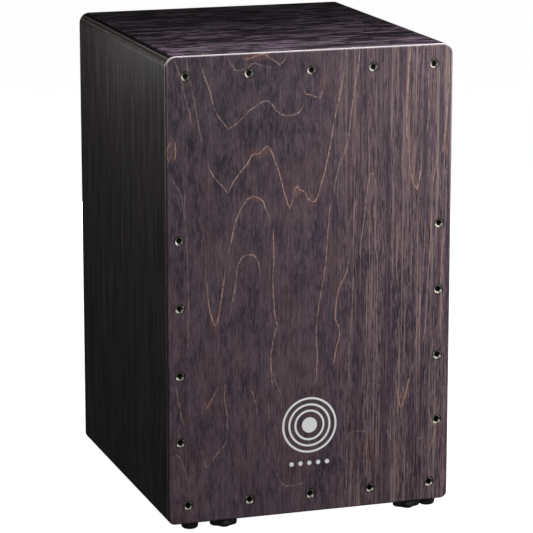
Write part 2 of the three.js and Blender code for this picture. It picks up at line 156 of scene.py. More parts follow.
def softened(profile, radius, steps=4):
    """The profile with each inner corner rounded by about the radius."""
    points = [Vector(point) for point in profile]
    out = [points[0]]
    for before, corner, after in zip(points, points[1:], points[2:]):
        reach_in = min(radius, (before - corner).length * 0.45)
        reach_out = min(radius, (after - corner).length * 0.45)
        start = corner + (before - corner).normalized() * reach_in
        stop = corner + (after - corner).normalized() * reach_out
        for i in range(steps + 1):
            share = i / steps
            out.append(start.lerp(corner, share).lerp(corner.lerp(stop, share), share))
    out.append(points[-1])
    return [tuple(point) for point in out]


def turned(name, profile, centre, axis="Z", steps=64, radius_at=None, closed=False):
    """A solid of revolution from (radius, height) pairs, in millimetres, about an axis through centre.
    radius_at(radius, height, angle) may change the radius, for lobes and sockets."""
    rings = []
    for radius, height in profile:
        count = steps if radius > 1e-6 else 1
        ring = []
        for i in range(count):
            angle = 2 * math.pi * i / steps
            reach = radius_at(radius, height, angle) if radius_at and radius > 1e-6 else radius
            a, b = reach * math.cos(angle), reach * math.sin(angle)
            offset = {"Z": (a, b, height), "Y": (a, height, b), "X": (height, a, b)}[axis]
            ring.append(Vector(centre) + Vector(offset) * MM)
        rings.append(ring)
    return lofted(name, rings, closed)


def arc(centre_x, centre_z, radius, start, stop, steps=12):
    """Points on a circle in the XZ plane, from start to stop in quarter turns."""
    points = []
    for i in range(steps + 1):
        angle = (start + (stop - start) * i / steps) * math.pi / 2
        points.append((centre_x + radius * math.cos(angle), centre_z + radius * math.sin(angle)))
    return points


def box_outline(inset, y):
    """The box's outline at y, drawn in from its edge by inset."""
    low, high = BOTTOM_RADIUS, TOP_RADIUS
    right, left = HALF_WIDTH - inset, -HALF_WIDTH + inset
    foot, head = BOTTOM + inset, TOP - inset
    low_radius, high_radius = low - inset, high - inset
    flat = (
        arc(right - low_radius, foot + low_radius, low_radius, -1, 0)
        + arc(right - high_radius, head - high_radius, high_radius, 0, 1)
        + arc(left + high_radius, head - high_radius, high_radius, 1, 2)
        + arc(left + low_radius, foot + low_radius, low_radius, 2, 3)
    )
    return [(x, y, z) for x, z in flat]


def rounded_face_steps(radius, steps=8):
    """(inset, depth) pairs of a quarter-round edge, from the face inwards."""
    pairs = []
    for i in range(steps + 1):
        angle = i / steps * math.pi / 2
        pairs.append((radius * (1 - math.sin(angle)), radius * (1 - math.cos(angle))))
    return pairs


def cover_plate(name, face_y, inner_y, back_arris):
    """A full-size plate whose outer face at face_y has a rounded edge."""
    inward = math.copysign(1, inner_y - face_y)
    edge = rounded_face_steps(FACE_RADIUS)
    rings = [box_outline(inset, face_y + inward * depth) for inset, depth in edge]
    rings.append(box_outline(0, inner_y - inward * back_arris))
    rings.append(box_outline(back_arris, inner_y))
    return lofted(name, rings)


def swept_panel(name, outline, y0, y1, arris=0.3 * MM, steps=3):
    """A panel with the outline of (x, z) pairs, swept along Y, with its end edges rounded a little."""
    cx = sum(x for x, _ in outline) / len(outline)
    cz = sum(z for _, z in outline) / len(outline)
    front = [(y0 + depth, inset) for inset, depth in rounded_face_steps(arris, steps)]
    back = [(y1 - depth, inset) for inset, depth in reversed(rounded_face_steps(arris, steps))]
    rings = []
    for y, inset in front + back:
        ring = []
        for x, z in outline:
            ring.append((x - math.copysign(inset, x - cx), y, z - math.copysign(inset, z - cz)))
        rings.append(ring)
    return lofted(name, rings)


def eased_box(name, low, high, radius):
    bm = bmesh.new()
    bmesh.ops.create_cube(bm, size=1)
    for vert in bm.verts:
        vert.co = Vector([low[i] + (vert.co[i] + 0.5) * (high[i] - low[i]) for i in range(3)])
    bmesh.ops.bevel(bm, geom=bm.edges[:], offset=radius, segments=1, profile=0.5, affect="EDGES")
    return link_mesh(name, bm)


def combine(obj, others, operation="DIFFERENCE"):
    """Cuts the others out of obj, or joins them to it, and removes them."""
    for other in others:
        modifier = obj.modifiers.new("combine", "BOOLEAN")
        modifier.operation = operation
        modifier.solver = "EXACT"
        modifier.object = other
    graph = bpy.context.evaluated_depsgraph_get()
    made = bpy.data.meshes.new_from_object(obj.evaluated_get(graph))
    obj.modifiers.clear()
    obj.data = made
    for other in others:
        bpy.data.objects.remove(other)


def merged(name, objects):
    """One object that holds the meshes of several, which are removed."""
    bm = bmesh.new()
    for obj in objects:
        bm.from_mesh(obj.data)
        bpy.data.objects.remove(obj)
    return link_mesh(name, bm)


def shade(obj, sharp_degrees=35, weighted=False):
    obj.data.shade_smooth()
    obj.data.set_sharp_from_angle(angle=math.radians(sharp_degrees))
    if weighted:
        modifier = obj.modifiers.new("flat faces stay flat", "WEIGHTED_NORMAL")
        modifier.keep_sharp = True
        modifier.weight = 90


def show(obj, slot, *nodes):
    """Gives the piece its finish, and has it stand for the CAD nodes."""
    obj.data.materials.clear()
    obj.data.materials.append(MATERIALS[slot])
    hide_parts(*nodes)


def show_on(obj, slot, body, *nodes):
    """The same, and the piece moves with that body."""
    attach(obj, body)
    show(obj, slot, *nodes)


# ---- Material building ----


def srgb(red, green, blue):
    """A colour from 0 to 255 as the linear values that nodes take."""
    def linear(value):
        share = value / 255
        return share / 12.92 if share <= 0.04045 else ((share + 0.055) / 1.055) ** 2.4
    return (linear(red), linear(green), linear(blue), 1.0)


class Finish:
    """A node material on the Principled shader, with short calls for the nodes it is made of.
    Lengths are in millimetres, in the row frame."""

    def __init__(self, name, roughness=0.5, metallic=0.0, specular=0.5, coat=0.0, coat_roughness=0.2):
        self.material = bpy.data.materials.new(name)
        self.material.use_nodes = True
        self.tree = self.material.node_tree
        self.tree.nodes.clear()
        output = self.tree.nodes.new("ShaderNodeOutputMaterial")
        self.shader = self.tree.nodes.new("ShaderNodeBsdfPrincipled")
        self.tree.links.new(self.shader.outputs[0], output.inputs["Surface"])
        self.shader.inputs["Roughness"].default_value = roughness
        self.shader.inputs["Metallic"].default_value = metallic
        self.shader.inputs["Specular IOR Level"].default_value = specular
        self.shader.inputs["Coat Weight"].default_value = coat
        self.shader.inputs["Coat Roughness"].default_value = coat_roughness
        coordinates = self.tree.nodes.new("ShaderNodeTexCoord")
        self.position = self.vector("MULTIPLY", coordinates.outputs["Object"], (1000, 1000, 1000))
        split = self.tree.nodes.new("ShaderNodeSeparateXYZ")
        self.feed(split.inputs[0], self.position)
        self.x, self.y, self.z = split.outputs

    def feed(self, socket, value):
        if isinstance(value, bpy.types.NodeSocket):
            self.tree.links.new(value, socket)
        else:
            socket.default_value = value

    def math(self, operation, *values):
        node = self.tree.nodes.new("ShaderNodeMath")
        node.operation = operation
        for socket, value in zip(node.inputs, values):
            self.feed(socket, value)
        return node.outputs[0]

    def times(self, first, second):
        return self.math("MULTIPLY", first, second)

    def times_plus(self, first, second, extra):
        return self.math("MULTIPLY_ADD", first, second, extra)

    def minus(self, first, second):
        return self.math("SUBTRACT", first, second)

    def larger(self, first, second):
        return self.math("MAXIMUM", first, second)

    def absolute(self, value):
        return self.math("ABSOLUTE", value)

    def vector(self, operation, *values):
        node = self.tree.nodes.new("ShaderNodeVectorMath")
        node.operation = operation
        for socket, value in zip(node.inputs, values):
            self.feed(socket, value)
        return node.outputs[0]

    def ramp(self, value, low, high, out_low=0.0, out_high=1.0, smooth=True):
        node = self.tree.nodes.new("ShaderNodeMapRange")
        node.interpolation_type = "SMOOTHSTEP" if smooth else "LINEAR"
        for socket, entry in zip(node.inputs, (value, low, high, out_low, out_high)):
            self.feed(socket, entry)
        return node.outputs[0]

    def fall(self, value, low, high):
        return self.ramp(value, low, high, 1.0, 0.0)

    def mix(self, share, first, second):
        node = self.tree.nodes.new("ShaderNodeMix")
        node.data_type = "RGBA"
        self.feed(node.inputs[0], share)
        self.feed(node.inputs[6], first)
        self.feed(node.inputs[7], second)
        return node.outputs[2]

    def noise(self, size, detail=2.0, rough=0.5, shift=0.0, twist=0.0):
        """Noise from 0 to 1 whose features are about size = (x, y, z) across."""
        scaled = self.vector("MULTIPLY", self.position, tuple(1 / length for length in size))
        moved = self.vector("ADD", scaled, (shift, shift * 0.7, shift * 1.3))
        node = self.tree.nodes.new("ShaderNodeTexNoise")
        node.inputs["Scale"].default_value = 1.0
        node.inputs["Detail"].default_value = detail
        node.inputs["Roughness"].default_value = rough
        node.inputs["Distortion"].default_value = twist
        self.feed(node.inputs["Vector"], moved)
        return node.outputs["Fac"]

    def curve(self, value, points, sharp):
        """A curve through (0..1, 0..1) points. sharp holds the places in the list of its corners."""
        node = self.tree.nodes.new("ShaderNodeFloatCurve")
        handles = node.mapping.curves[0].points
        while len(handles) < len(points):
            handles.new(0.5, 0.5)
        for i, (across, up) in enumerate(points):
            handles[i].location = (across, up)
        for i in sharp:
            handles[i].handle_type = "VECTOR"
        node.mapping.update()
        self.feed(node.inputs["Value"], value)
        return node.outputs[0]

    def finish(self, colour, roughness=None, height=None, bump_mm=0.1):
        self.feed(self.shader.inputs["Base Color"], colour)
        if roughness is not None:
            self.feed(self.shader.inputs["Roughness"], roughness)
        if height is not None:
            bump = self.tree.nodes.new("ShaderNodeBump")
            bump.inputs["Strength"].default_value = 1.0
            bump.inputs["Distance"].default_value = bump_mm * MM
            self.feed(bump.inputs["Height"], height)
            self.feed(self.shader.inputs["Normal"], bump.outputs[0])
            self.feed(self.shader.inputs["Coat Normal"], bump.outputs[0])
        return self.material


# ---- The tapa's veneer figure ----
# The figure is the set of thin light lines where the peeled veneer crosses the growth rings. Each
# line is a list of points, in millimetres across from the middle and up from the box's bottom.
# CORNER marks a point where the line turns sharply.

CORNER = "corner"
LINE_WIDTH = 0.8

# Lines that run across: (strength, warmth, points).
ACROSS_LINES = [
    (0.50, 0.2, [(-88, 474), (-82, 463), (-76, 459), (-68, 459), (-60, 465), (-50, 462), (-38, 458)]),
    (0.70, 0.5, [(-74, 474), (-66, 470), (-58, 472), (-50, 473), (-44, 470), (-33, 461, CORNER), (-28, 467),
        (-24, 475)]),
    (0.85, 0.2, [(-117, 475), (-112, 460), (-106, 442), (-100, 421), (-93, 409), (-86, 401, CORNER),
        (-79, 405), (-70, 412), (-62, 420), (-55, 424), (-48, 426), (-42, 422), (-36, 415),
        (-30, 412), (-22, 411), (-15, 413), (-10, 418), (-7, 428)]),
    (0.80, 0.5, [(-10, 442), (-6, 431, CORNER), (0, 429), (4, 427), (8, 427), (11, 433), (13, 444),
        (15, 454)]),
    (0.85, 0.4, [(-109, 392), (-107, 372), (-105, 361), (-99, 351), (-93, 344), (-87, 337, CORNER),
        (-80, 349), (-72, 359), (-66, 366), (-61, 374), (-53, 376), (-46, 381), (-42, 377),
        (-38, 366), (-32, 348), (-27, 330), (-23, 316, CORNER), (-19, 327), (-15, 338),
        (-12, 335), (-8, 334), (-3, 326), (2, 322), (6, 326), (10, 338), (14, 352), (18, 369),
        (21, 386), (25, 408), (30, 430), (34, 452), (37, 472)]),
    (0.90, 0.3, [(-90, 255), (-87, 275), (-83, 290), (-80, 304), (-77, 312), (-71, 323), (-64, 331),
        (-57, 332), (-51, 328), (-47, 318), (-43, 308), (-41, 296)]),
    (0.90, 0.7, [(-111, 290), (-110, 262), (-108, 236), (-105, 216), (-101, 202, CORNER), (-97, 212),
        (-94, 230), (-91, 250), (-88, 272)]),
    (0.80, 0.4, [(-88, 196), (-85, 216), (-81, 233), (-78, 252), (-76, 264), (-71, 272), (-65, 274),
        (-59, 272), (-55, 264), (-53, 248), (-51, 228)]),
    (0.55, 0.4, [(-117, 84), (-114, 70), (-110, 57, CORNER), (-104, 65), (-97, 73), (-91, 79), (-88, 90),
        (-86, 102)]),
    (0.50, 0.9, [(-114, 134), (-110, 119, CORNER), (-104, 128), (-97, 142)]),
    (0.40, 0.4, [(-149, 62), (-145, 70), (-141, 72), (-136, 67), (-132, 52), (-129, 30)]),
    (0.45, 0.3, [(-41, 68), (-39, 52), (-35, 42), (-29, 33), (-20, 29), (-12, 30), (-5, 33)]),
    (0.75, 0.9, [(90, 146), (94, 118), (98, 101, CORNER), (102, 113), (106, 130), (112, 152)]),
    (0.85, 0.8, [(103, 380), (105, 352), (109, 336), (113, 329, CORNER), (116, 345), (118, 372)]),
    (0.60, 0.4, [(58, 310), (60, 334), (62, 344), (64, 348), (67, 342), (69, 326)]),
    (0.50, 0.5, [(127, 44), (128, 47), (133, 62), (138, 80), (142, 98)]),
    (0.45, 0.4, [(114, 44), (117, 62), (121, 68), (125, 56), (127, 44)]),
    (0.50, 0.5, [(126, 104), (130, 88), (134, 79, CORNER), (138, 90), (141, 108)]),
    (0.40, 0.2, [(-68, 140), (-61, 128), (-57, 112), (-55, 96)]),
    (0.35, 0.3, [(38, 76), (48, 80), (58, 79), (66, 73), (70, 62)]),
    (0.35, 0.3, [(80, 82), (88, 68), (96, 52)]),
]

# Lines that run up and down: (strength, warmth, points from low to high).
UPRIGHT_LINES = [
    (0.50, 0.2, [(-113, 385), (-118, 415), (-124, 445), (-129, 475)]),
    (0.55, 0.2, [(-122, 405), (-129, 430), (-135, 455), (-143, 475)]),
    (0.70, 0.7, [(-142, 370), (-149, 378), (-147, 388), (-141, 393)]),
    (0.70, 0.7, [(-144, 371), (-140, 380), (-140, 388), (-143, 393)]),
    (0.45, 0.4, [(-132, 300), (-132, 320), (-135, 338), (-143, 352), (-149, 366)]),
    (0.35, 0.2, [(-129, 180), (-128, 240), (-130, 300), (-132, 360)]),
    (0.80, 0.5, [(-38, 135), (-42, 160), (-41, 175), (-35, 200, CORNER), (-39, 220), (-40, 250),
        (-39, 275), (-41, 298)]),
    (0.75, 0.6, [(24, 150), (28, 172), (31, 187), (26, 201), (27, 216), (29, 230, CORNER), (34, 240),
        (39, 252), (41, 268)]),
    (0.65, 0.3, [(4, 132), (7, 160), (6, 190), (8, 212), (12, 235), (16, 262), (18, 290), (20, 322)]),
    (0.60, 0.3, [(24, 330), (28, 352), (35, 371), (39, 385), (43, 420), (48, 452), (51, 475)]),
    (0.55, 0.4, [(52, 262), (54, 285), (57, 308), (58, 328)]),
    (0.45, 0.3, [(42, 180), (45, 230), (45, 285), (48, 325)]),
    (0.50, 0.3, [(70, 205), (71, 240), (69, 275), (67, 318)]),
    (0.80, 0.5, [(103, 378), (101, 405), (102, 440), (105, 475)]),
    (0.50, 0.3, [(123, 385), (124, 420), (123, 455), (122, 475)]),
    (0.60, 0.6, [(130, 330), (133, 354), (140, 366, CORNER), (143, 390), (145, 420), (146, 460)]),
    (0.55, 0.4, [(120, 165), (125, 205), (126, 240), (128, 275), (129, 305)]),
    (0.45, 0.3, [(112, 160), (117, 205), (121, 250), (122, 300)]),
    (0.45, 0.3, [(141, 180), (140, 240), (144, 300), (143, 350)]),
    (0.50, 0.5, [(-133, 98), (-137, 118), (-140, 136), (-143, 146)]),
    (0.55, 0.4, [(-87, 92), (-88, 110), (-91, 128), (-90, 146)]),
    (0.45, 0.4, [(-47, 96), (-44, 108), (-47, 122)]),
    (0.55, 0.4, [(-30, 125), (-36, 138), (-42, 156)]),
    (0.45, 0.3, [(-28, 92), (-38, 80), (-40, 66)]),
    (0.40, 0.3, [(40, 20), (39, 45), (40, 70)]),
    (0.40, 0.3, [(104, 18), (106, 32), (103, 46)]),
    (0.40, 0.4, [(42, 130), (41, 155), (44, 180)]),
    (0.35, 0.3, [(69, 150), (71, 180), (70, 206)]),
]

# Warm, lighter patches where a line lies nearly flat in the veneer: (x, z, half width, half height).
WARM_PATCHES = [
    (-55, 376, 9, 4), (-15, 335, 5, 4), (1, 324, 5, 4), (-101, 207, 4, 10), (29, 234, 4, 6),
    (105, 355, 3.5, 22), (98, 108, 4, 9), (13, 444, 2.5, 9), (-110, 121, 4, 5), (-58, 472, 12, 4),
    (-144, 383, 4, 9), (143, 372, 3, 12), (-58, 330, 8, 3), (64, 60, 16, 16), (30, 165, 3, 14),
]

# Darker, bluer patches: (x, z, half width, half height).
DARK_PATCHES = [
    (-120, 440, 34, 60), (-70, 452, 60, 16), (-128, 395, 20, 30), (-60, 395, 40, 20),
    (-86, 352, 14, 22), (-86, 416, 15, 24), (-7, 440, 5, 9), (-88, 463, 18, 12), (7, 235, 5, 5),
    (-78, 138, 22, 10), (52, 72, 22, 12), (45, 47, 20, 8), (96, 205, 12, 40), (-30, 386, 26, 18),
    (-130, 310, 14, 60), (60, 260, 14, 8), (-62, 210, 12, 8),
]


def sum_of_squares(g, first, second):
    return g.times_plus(first, first, g.times(second, second))


def line_mask(g, along, across, points, width_mm, both_slopes):
    """1 on the line and 0 away from it, fading at its ends. along and across are the coordinates."""
    lows = [point[0] for point in points]
    highs = [point[1] for point in points]
    start, stop = lows[0], lows[-1]
    base, rise = min(highs), max(max(highs) - min(highs), 1)
    share = g.ramp(along, start, stop, smooth=False)
    shape = [((point[0] - start) / (stop - start), (point[1] - base) / rise) for point in points]
    corners = [i for i, point in enumerate(points) if CORNER in point]
    off = g.times_plus(g.curve(share, shape, corners), -rise, g.minus(across, base))
    distance = g.absolute(off)
    if both_slopes:
        step = 1 / (stop - start)
        ahead = g.curve(g.math("ADD", share, step), shape, corners)
        slope = g.math("ADD", g.times_plus(ahead, -rise, g.minus(across, base)),
                       g.times(off, -1.0))
        steepness = g.math("SQRT", g.times_plus(slope, slope, 1.0))
        distance = g.math("DIVIDE", distance, steepness)
    on_line = g.fall(distance, width_mm * 0.25, width_mm)
    fade = g.ramp(g.math("PINGPONG", share, 0.5), 0.0, min(0.2, 7 / (stop - start)))
    return g.times(on_line, fade)


def patch_mask(g, x, z, patches):
    """1 in the middle of each soft round patch, falling to 0 at about twice its half size."""
    total = 0.0
    for cx, cz, half_x, half_z in patches:
        dx = g.times(g.minus(x, cx), 1 / half_x)
        dz = g.times(g.minus(z, cz), 1 / half_z)
        square = sum_of_squares(g, dx, dz)
        spot = g.fall(square, 0.0, 3.0)
        total = g.larger(spot, total)
    return total


def figure_masks(g, x, z):
    """(line strength, how warm it is) of the veneer's figure."""
    strength_sum = 0.0
    warm_sum = 0.0
    families = ((ACROSS_LINES, x, z, True), (UPRIGHT_LINES, z, x, False))
    for lines, along, across, both_slopes in families:
        for strength, warmth, points in lines:
            if along is z:
                points = [(point[1], point[0], *point[2:]) for point in points]
            mask = line_mask(g, along, across, points, LINE_WIDTH, both_slopes)
            mask = g.times(mask, strength)
            strength_sum = g.larger(mask, strength_sum)
            warm_sum = g.larger(g.times(mask, warmth), warm_sum)
    return strength_sum, warm_sum


# ---- The emblem: rings over a row of dots, printed in white ----

EMBLEM_X = -1
EMBLEM_Z = 92
EMBLEM_RINGS = (28, 21.5, 15)
EMBLEM_LINE = 1.1
DOT_ROW_Z = 52
DOT_SPACING = 9.5
DOT_COUNT = 5
DOT_RADIUS = 2.3


def emblem_mask(g, x, z):
    across = g.minus(x, EMBLEM_X)
    up = g.minus(z, EMBLEM_Z)
    reach = g.math("SQRT", sum_of_squares(g, across, up))
    mask = g.fall(reach, 7.8, 8.3)
    for radius in EMBLEM_RINGS:
        off = g.absolute(g.minus(reach, radius))
        mask = g.larger(mask, g.fall(off, EMBLEM_LINE - 0.25, EMBLEM_LINE + 0.25))
    for i in range(DOT_COUNT):
        dx = g.minus(across, (i - (DOT_COUNT - 1) / 2) * DOT_SPACING)
        dz = g.minus(z, DOT_ROW_Z)
        off = g.math("SQRT", sum_of_squares(g, dx, dz))
        mask = g.larger(mask, g.fall(off, DOT_RADIUS - 0.25, DOT_RADIUS + 0.25))
    return mask


def countersink_shadow_mask(g):
    """Painted shadow: 1 on the wood in a ring round each countersunk screw, set off towards the upper
    right, where the countersink's wall throws its shadow.
    """
    total = 0.0
    for node in nodes_named("tapa_screw_"):
        place = middle(node) / MM
        dx = g.minus(g.x, place.x + 0.35)
        dz = g.minus(g.z, place.z + 0.45)
        total = g.larger(g.fall(sum_of_squares(g, dx, dz), 4.7 ** 2, 5.6 ** 2), total)
    return total


# ---- Wood finishes ----

RAW_PLY = srgb(206, 178, 136)
RAW_PLY_DARK = srgb(176, 144, 100)


def raw_ply(g, fine, long):
    """Unstained birch ply: fine and long are noises across and along its grain."""
    base = g.mix(g.ramp(long, 0.3, 0.7), RAW_PLY, RAW_PLY_DARK)
    return g.mix(g.times(g.ramp(fine, 0.45, 0.8), 0.45), base, srgb(150, 116, 76))


def tapa_finish():
    g = Finish("stained_tapa", specular=0.15, coat=0.5, coat_roughness=0.14)
    up = g.minus(g.z, BOTTOM / MM)
    wander = g.times_plus(g.noise((16, 16, 16), detail=1), 5.0, -2.5)
    jitter = g.times_plus(g.noise((2.5, 2.5, 5), detail=2, shift=3), 2.4, -1.2)
    wobble = g.math("ADD", wander, jitter)
    line_x = g.times_plus(wobble, 0.35, g.x)
    line_z = g.math("ADD", up, wobble)
    lines, warmth = figure_masks(g, line_x, line_z)

    right_third = g.ramp(g.times_plus(wander, 3.0, g.x), 14, 62)
    pores = g.noise((0.9, 20, 18), detail=3, rough=0.65, shift=5)
    speckle = g.noise((1.3, 20, 7.0), detail=3, rough=0.65, shift=11)
    mottle = g.noise((9, 20, 22), detail=3, rough=0.6, shift=7)
    cloud = g.noise((55, 60, 80), detail=2, shift=1)
    hue = g.noise((38, 60, 70), detail=2, shift=21)

    ground = g.mix(g.ramp(hue, 0.38, 0.62), srgb(66, 57, 72), srgb(88, 69, 76))
    ground = g.mix(g.times(g.ramp(cloud, 0.35, 0.7), 0.5), ground, srgb(60, 49, 62))
    ground = g.mix(g.times(right_third, 0.45), ground, srgb(120, 99, 102))
    dark = patch_mask(g, g.x, up, DARK_PATCHES)
    ground = g.mix(g.times(dark, 0.8), ground, srgb(46, 42, 56))
    warm = patch_mask(g, line_x, line_z, WARM_PATCHES)
    ground = g.mix(g.times(warm, 0.34), ground, srgb(150, 104, 84))
    ground = g.mix(g.ramp(mottle, 0.38, 0.62, 0.0, 0.5), ground, srgb(110, 90, 101))
    fibre_share = g.times_plus(right_third, 0.5, 0.5)
    light_fibre = g.times(g.ramp(speckle, 0.44, 0.62, 0.0, 0.7), fibre_share)
    ground = g.mix(light_fibre, ground, srgb(136, 114, 118))
    dark_fibre = g.times(g.ramp(pores, 0.46, 0.60, 0.0, 0.9), fibre_share)
    ground = g.mix(dark_fibre, ground, srgb(38, 31, 43))

    streaks = g.noise((1.7, 40, 150), detail=3, rough=0.6, shift=31)
    broad = g.noise((7.0, 40, 260), detail=2, shift=41)
    share = g.times_plus(right_third, 0.8, 0.16)
    streak_line = g.times(g.ramp(streaks, 0.52, 0.62), share)
    ground = g.mix(g.times(streak_line, 0.6), ground, srgb(158, 134, 130))
    broad_dark = g.times(g.ramp(broad, 0.5, 0.62), g.times_plus(right_third, 0.8, 0.2))
    ground = g.mix(g.times(broad_dark, 0.5), ground, srgb(57, 46, 60))

    line_colour = g.mix(warmth, srgb(188, 162, 156), srgb(214, 160, 124))
    broken = g.ramp(g.noise((3, 4, 4), detail=3, shift=51), 0.36, 0.58, 0.25, 1.0)
    ground = g.mix(g.times(lines, broken), ground, line_colour)

    over_x = g.larger(g.minus(g.absolute(g.x), (HALF_WIDTH - TOP_RADIUS) / MM), 0.0)
    over_z = g.larger(g.minus(g.z, (TOP - TOP_RADIUS) / MM), 0.0)
    reach = g.math("SQRT", sum_of_squares(g, over_x, over_z))
    from_edge = g.minus(TOP_RADIUS / MM, reach)
    # A band along the tapa's rounded edges. Below the top corners it is painted dark; along the top edge it
    # carries a painted highlight.
    edge_band_and_highlight = g.fall(from_edge, 0.4, 1.7)
    high = g.ramp(g.z, (TOP - TOP_RADIUS) / MM, (TOP - 0.3 * TOP_RADIUS) / MM)
    # The rounded side edges and the lower part of the top corners are painted near-black.
    dark_side_edges = g.times(edge_band_and_highlight, g.minus(1.0, high))
    ground = g.mix(g.times(dark_side_edges, 0.75), ground, srgb(24, 21, 25))
    # Painted highlight: a near-white line along the rounded top edge and the upper part of the top corners.
    edge_band_and_highlight = g.times(edge_band_and_highlight, g.times(high, 0.85))
    sill = g.fall(g.z, BOTTOM / MM + 0.3, BOTTOM / MM + 2.4)
    ground = g.mix(edge_band_and_highlight, ground, srgb(206, 198, 202))
    # Painted shade: a darker, greyer band along the rounded bottom edge.
    ground = g.mix(g.times(sill, 0.6), ground, srgb(58, 56, 64))
    # Painted shadow round the countersunk screws, thicker at the upper right.
    ground = g.mix(g.times(countersink_shadow_mask(g), 0.8), ground, srgb(20, 16, 18))

    printed = g.times(emblem_mask(g, g.x, up), g.ramp(g.y, FACE + 0.6, FACE + 0.3))
    ground = g.mix(printed, ground, srgb(255, 255, 255))

    inside = g.ramp(g.y, TAPA_HIGH.y / MM - 0.9, TAPA_HIGH.y / MM - 0.7)
    colour = g.mix(inside, ground, raw_ply(g, pores, streaks))
    roughness = g.times_plus(speckle, 0.2, g.times_plus(inside, 0.25, 0.32))
    height = g.minus(g.times(speckle, 0.5), g.ramp(pores, 0.5, 0.75))
    return g.finish(colour, roughness, height, 0.05)


def seat_finish():
    g = Finish("stained_seat", specular=0.15)
    pores = g.noise((16, 1.1, 3), detail=3, rough=0.65, shift=4)
    streak = g.noise((48, 6.5, 9), detail=4, rough=0.7, shift=8, twist=0.8)
    broad = g.noise((120, 16, 20), detail=2, shift=13, twist=0.3)
    ground = g.mix(g.ramp(broad, 0.35, 0.65), srgb(27, 21, 28), srgb(50, 41, 49))
    ground = g.mix(g.ramp(streak, 0.49, 0.56, 0.0, 0.9), ground, srgb(132, 114, 130))
    ground = g.mix(g.ramp(pores, 0.47, 0.58, 0.0, 0.85), ground, srgb(12, 9, 12))
    depth = g.minus(TOP / MM, g.z)
    ply = g.mix(g.ramp(depth, 2.1, 2.5), srgb(12, 10, 12), srgb(96, 88, 86))
    ply = g.mix(g.ramp(depth, 2.8, 3.2), ply, srgb(44, 38, 37))
    ply = g.mix(g.ramp(depth, 4.1, 4.3), ply, srgb(62, 56, 54))
    ply = g.mix(g.ramp(depth, 4.6, 4.8), ply, srgb(34, 30, 30))
    on_end = g.ramp(g.absolute(g.x), HALF_WIDTH / MM - 9.0, HALF_WIDTH / MM - 7.0)
    ground = g.mix(on_end, ground, ply)
    under = g.fall(g.z, SEAT_LOW.z / MM + 0.02, SEAT_LOW.z / MM + 0.08)
    colour = g.mix(under, ground, raw_ply(g, pores, streak))
    roughness = g.times_plus(streak, 0.25, 0.36)
    height = g.minus(g.times(streak, 0.5), g.ramp(pores, 0.5, 0.75))
    return g.finish(colour, roughness, height, 0.06)


def side_finish():
    """The sides, the back and the underside: near-black stain outside, raw ply inside."""
    g = Finish("stained_side", specular=0.22)
    pores = g.noise((0.6, 0.6, 26), detail=3, rough=0.7, shift=6)
    streak = g.noise((3.4, 3.4, 110), detail=4, rough=0.65, shift=9)
    broad = g.noise((30, 30, 160), detail=2, shift=17)
    beneath = g.fall(g.z, BOTTOM / MM + 0.3, BOTTOM / MM + 0.8)
    pores = g.mix(beneath, pores, g.noise((26, 0.7, 3), detail=3, rough=0.7, shift=26))
    streak = g.mix(beneath, streak, g.noise((60, 2.6, 3), detail=4, rough=0.7, shift=29))
    ground = g.mix(g.ramp(broad, 0.35, 0.65), srgb(25, 21, 24), srgb(38, 33, 35))
    ground = g.mix(g.ramp(streak, 0.47, 0.60, 0.0, 0.8), ground, srgb(80, 70, 71))
    ground = g.mix(g.ramp(pores, 0.48, 0.7, 0.0, 0.8), ground, srgb(14, 12, 13))
    wide = g.absolute(g.x)
    side_top = UNDER_LIP / MM
    near_top = g.ramp(g.z, side_top - 1.1, side_top - 0.5)
    near_front = g.fall(g.y, SEAT_LOW.y / MM + 0.9, SEAT_LOW.y / MM + 1.7)
    outside = g.ramp(wide, INNER_X / MM + 6.0, INNER_X / MM + 6.5)
    # Painted highlight: a light tan line along the outer top and front arrises of the side panels, broken
    # up by noise.
    arris_highlight = g.times(g.larger(near_top, near_front), outside)
    patchy = g.ramp(g.noise((6, 9, 12), detail=3, shift=19), 0.35, 0.6, 0.35, 1.0)
    ground = g.mix(g.times(arris_highlight, g.times(patchy, 0.8)), ground, srgb(140, 127, 116))
    inner_x = INNER_X / MM + 0.4
    in_width = g.fall(wide, inner_x - 0.02, inner_x + 0.02)
    in_depth = g.fall(g.y, BACK_LOW.y / MM + 0.28, BACK_LOW.y / MM + 0.32)
    in_height = g.ramp(g.z, FLOOR_PANEL_HIGH.z / MM - 0.32, FLOOR_PANEL_HIGH.z / MM - 0.28)
    inside = g.times(g.times(in_width, in_depth), in_height)
    layer = g.math("PINGPONG", g.y, 0.62)
    over_port = g.math("POWER", g.minus(g.z, PORT_HEIGHT / MM), 2.0)
    from_port = g.math("SQRT", g.times_plus(g.x, g.x, over_port))
    on_rim = g.fall(from_port, PORT_RADIUS / MM + 0.05, PORT_RADIUS / MM + 0.12)
    rim = g.mix(g.ramp(layer, 0.25, 0.38), srgb(120, 92, 62), srgb(172, 140, 100))
    colour = g.mix(inside, ground, raw_ply(g, pores, streak))
    at_back = g.ramp(g.y, BACK_LOW.y / MM - 1, BACK_LOW.y / MM)
    colour = g.mix(g.times(on_rim, at_back), colour, rim)
    roughness = g.times_plus(streak, 0.2, 0.45)
    height = g.minus(g.times(streak, 0.4), g.ramp(pores, 0.5, 0.75))
    return g.finish(colour, roughness, height, 0.06)


